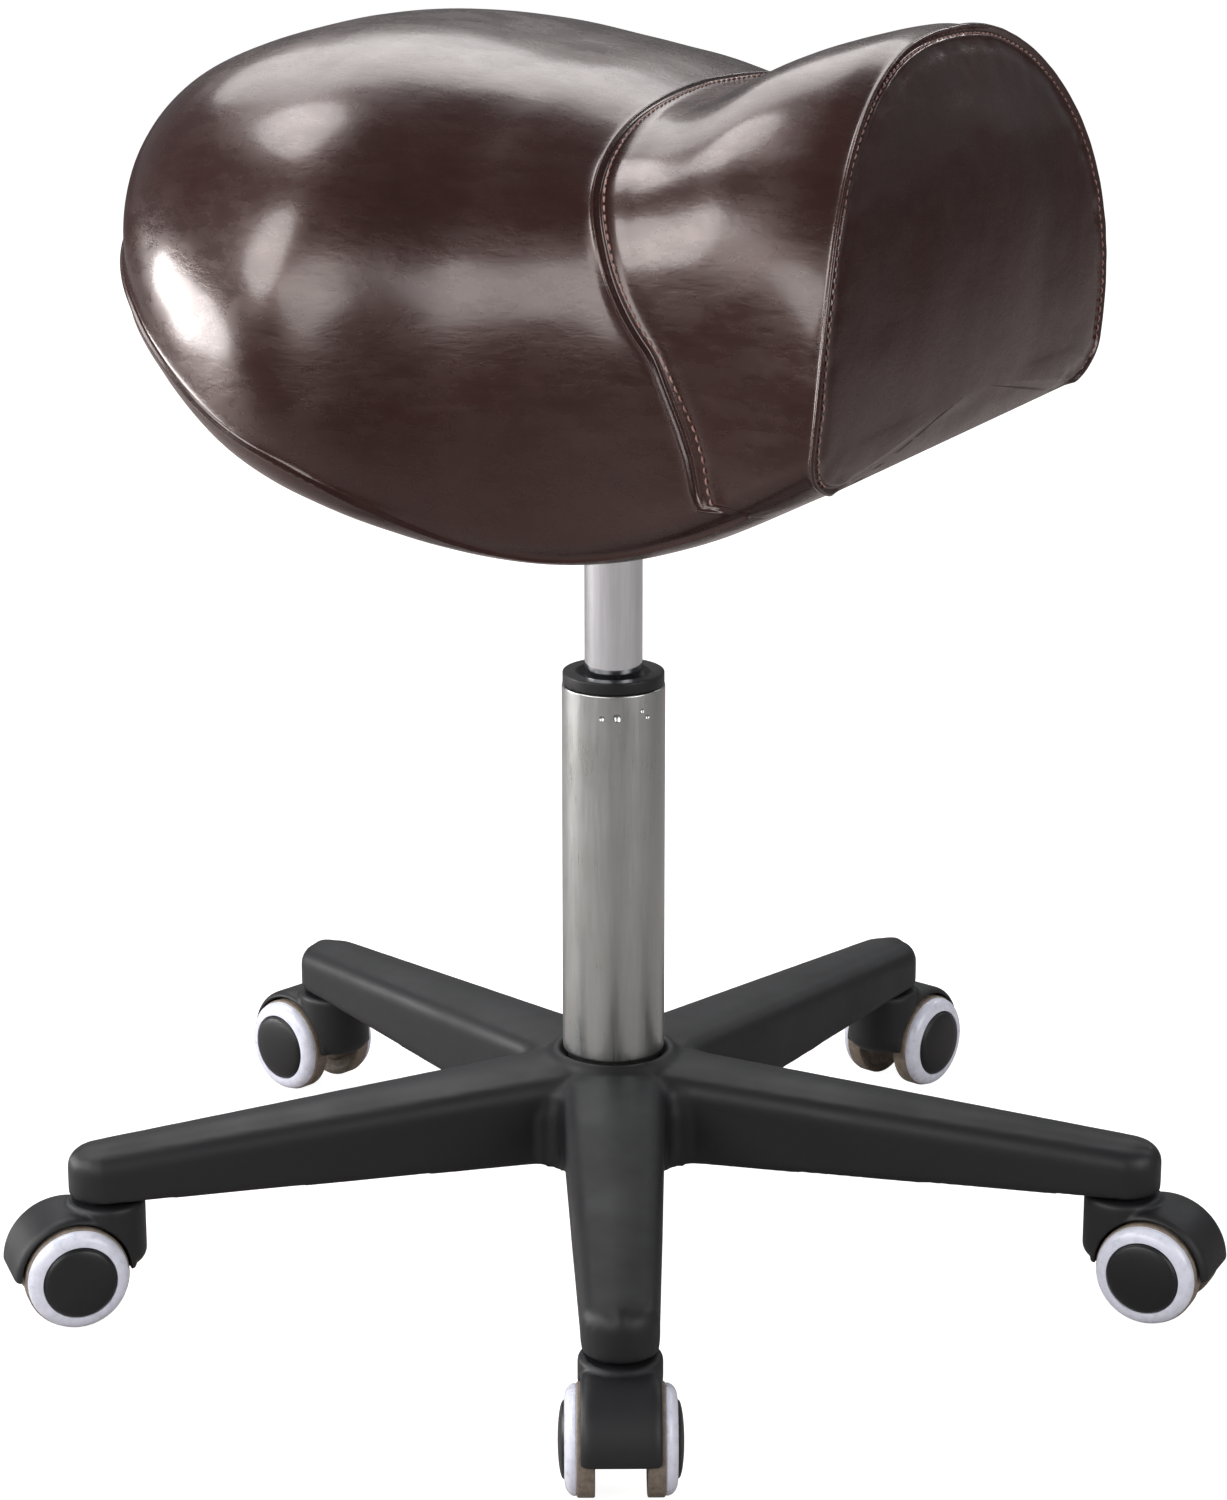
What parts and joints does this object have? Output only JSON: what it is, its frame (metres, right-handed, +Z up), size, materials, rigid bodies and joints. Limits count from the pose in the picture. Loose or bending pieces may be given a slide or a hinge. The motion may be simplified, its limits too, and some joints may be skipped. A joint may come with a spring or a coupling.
{
  "type": "saddle stool",
  "caption": "Height-adjustable saddle stool on a five-star base with twin-wheel casters, a gas lift, and an arched upholstered saddle seat.",
  "frame": {"origin": "on the column's axis at floor level", "axes": "+Z up along the column; -Y is the seat's front (the pommel) at rest; -X is the sitter's right"},
  "size_m": [0.5805, 0.5832, 0.609],
  "materials": {
    "black_nylon": "matte",
    "wheel_ring": "satin",
    "bright_chrome": "polished",
    "satin_steel": "satin",
    "zinc_steel": "satin",
    "black_rubber": "matte",
    "brown_upholstery": "gloss",
    "foam": "matte",
    "plywood": "matte"
  },
  "bodies": {
    "base": {"star_base": "black_nylon", "column_tube": "satin_steel", "guide_bush": "black_nylon", "foot_plate": "zinc_steel", "thrust_bearing": "zinc_steel", "caster_stem_1": "zinc_steel", "caster_stem_2": "zinc_steel", "caster_stem_3": "zinc_steel", "caster_stem_4": "zinc_steel", "caster_stem_5": "zinc_steel"},
    "rod": {"piston_rod": "bright_chrome", "retaining_clip": "zinc_steel", "rubber_bumper": "black_rubber", "piston_head": "zinc_steel"},
    "seat": {"gas_cylinder": "bright_chrome", "seat_plate": "zinc_steel", "seat_board": "plywood", "seat_foam": "foam", "seat_cover": "brown_upholstery", "lever_pin": "zinc_steel", "plate_bolt_1": "zinc_steel", "plate_bolt_2": "zinc_steel", "plate_bolt_3": "zinc_steel", "plate_bolt_4": "zinc_steel"},
    "lever": {"lever_rod": "zinc_steel", "lever_grip": "black_nylon"},
    "button": {"valve_button": "zinc_steel"},
    "caster_1": {"caster_hood_1": "black_nylon", "caster_axle_1": "zinc_steel"},
    "wheel_1a": {"caster_wheel_1a": "wheel_ring", "caster_cap_1a": "black_nylon"},
    "wheel_1b": {"caster_wheel_1b": "wheel_ring", "caster_cap_1b": "black_nylon"},
    "caster_2": {"caster_hood_2": "black_nylon", "caster_axle_2": "zinc_steel"},
    "wheel_2a": {"caster_wheel_2a": "wheel_ring", "caster_cap_2a": "black_nylon"},
    "wheel_2b": {"caster_wheel_2b": "wheel_ring", "caster_cap_2b": "black_nylon"},
    "caster_3": {"caster_hood_3": "black_nylon", "caster_axle_3": "zinc_steel"},
    "wheel_3a": {"caster_wheel_3a": "wheel_ring", "caster_cap_3a": "black_nylon"},
    "wheel_3b": {"caster_wheel_3b": "wheel_ring", "caster_cap_3b": "black_nylon"},
    "caster_4": {"caster_hood_4": "black_nylon", "caster_axle_4": "zinc_steel"},
    "wheel_4a": {"caster_wheel_4a": "wheel_ring", "caster_cap_4a": "black_nylon"},
    "wheel_4b": {"caster_wheel_4b": "wheel_ring", "caster_cap_4b": "black_nylon"},
    "caster_5": {"caster_hood_5": "black_nylon", "caster_axle_5": "zinc_steel"},
    "wheel_5a": {"caster_wheel_5a": "wheel_ring", "caster_cap_5a": "black_nylon"},
    "wheel_5b": {"caster_wheel_5b": "wheel_ring", "caster_cap_5b": "black_nylon"}
  },
  "joints": [
    {"name": "seat_swivel", "type": "hinge", "parent": "base", "child": "rod", "pos_m": [0, 0, 0.065], "axis": [0, 0, 1], "continuous": true},
    {"name": "seat_height", "type": "slide", "parent": "rod", "child": "seat", "axis": [0, 0, 1], "range_m": [-0.1, 0.03]},
    {"name": "lever_pull", "type": "hinge", "parent": "seat", "child": "lever", "pos_m": [0.03686, 0.02581, 0.4595], "axis": [0.5736, -0.8192, 0], "range_deg": [0, 5.1], "stiffness_Nm_per_rad": 4, "springref_deg": -2.86},
    {"name": "valve_press", "type": "slide", "parent": "seat", "child": "button", "axis": [0, 0, -1], "range_m": [0, 0.0042]},
    {"name": "caster_swivel_1", "type": "hinge", "parent": "base", "child": "caster_1", "pos_m": [-0.2247, -0.12287, 0.057], "axis": [0, 0, 1], "continuous": true},
    {"name": "wheel_spin_1a", "type": "hinge", "parent": "caster_1", "child": "wheel_1a", "pos_m": [-0.24102, -0.13179, 0.025], "axis": [0.4798, -0.8774, 0], "continuous": true},
    {"name": "wheel_spin_1b", "type": "hinge", "parent": "caster_1", "child": "wheel_1b", "pos_m": [-0.24102, -0.13179, 0.025], "axis": [0.4798, -0.8774, 0], "continuous": true},
    {"name": "caster_swivel_2", "type": "hinge", "parent": "base", "child": "caster_2", "pos_m": [0.04742, -0.25167, 0.057], "axis": [0, 0, 1], "continuous": true},
    {"name": "wheel_spin_2a", "type": "hinge", "parent": "caster_2", "child": "wheel_2a", "pos_m": [0.04812, -0.27026, 0.025], "axis": [0.9993, 0.0379, 0], "continuous": true},
    {"name": "wheel_spin_2b", "type": "hinge", "parent": "caster_2", "child": "wheel_2b", "pos_m": [0.04812, -0.27026, 0.025], "axis": [0.9993, 0.0379, 0], "continuous": true},
    {"name": "caster_swivel_3", "type": "hinge", "parent": "base", "child": "caster_3", "pos_m": [0.25401, -0.03267, 0.057], "axis": [0, 0, 1], "continuous": true},
    {"name": "wheel_spin_3a", "type": "hinge", "parent": "caster_3", "child": "wheel_3a", "pos_m": [0.27224, -0.03636, 0.025], "axis": [0.1982, 0.9802, 0], "continuous": true},
    {"name": "wheel_spin_3b", "type": "hinge", "parent": "caster_3", "child": "wheel_3b", "pos_m": [0.27224, -0.03636, 0.025], "axis": [0.1982, 0.9802, 0], "continuous": true},
    {"name": "caster_swivel_4", "type": "hinge", "parent": "base", "child": "caster_4", "pos_m": [0.10957, 0.23148, 0.057], "axis": [0, 0, 1], "continuous": true},
    {"name": "wheel_spin_4a", "type": "hinge", "parent": "caster_4", "child": "wheel_4a", "pos_m": [0.11477, 0.24934, 0.025], "axis": [-0.9601, 0.2795, 0], "continuous": true},
    {"name": "wheel_spin_4b", "type": "hinge", "parent": "caster_4", "child": "wheel_4b", "pos_m": [0.11477, 0.24934, 0.025], "axis": [-0.9601, 0.2795, 0], "continuous": true},
    {"name": "caster_swivel_5", "type": "hinge", "parent": "base", "child": "caster_5", "pos_m": [-0.18629, 0.17574, 0.057], "axis": [0, 0, 1], "continuous": true},
    {"name": "wheel_spin_5a", "type": "hinge", "parent": "caster_5", "child": "wheel_5a", "pos_m": [-0.2, 0.18831, 0.025], "axis": [-0.676, -0.7369, 0], "continuous": true},
    {"name": "wheel_spin_5b", "type": "hinge", "parent": "caster_5", "child": "wheel_5b", "pos_m": [-0.2, 0.18831, 0.025], "axis": [-0.676, -0.7369, 0], "continuous": true}
  ],
  "couplings": [
    {"joint": "valve_press", "follows": "lever_pull", "m_per_rad": 0.045}
  ]
}
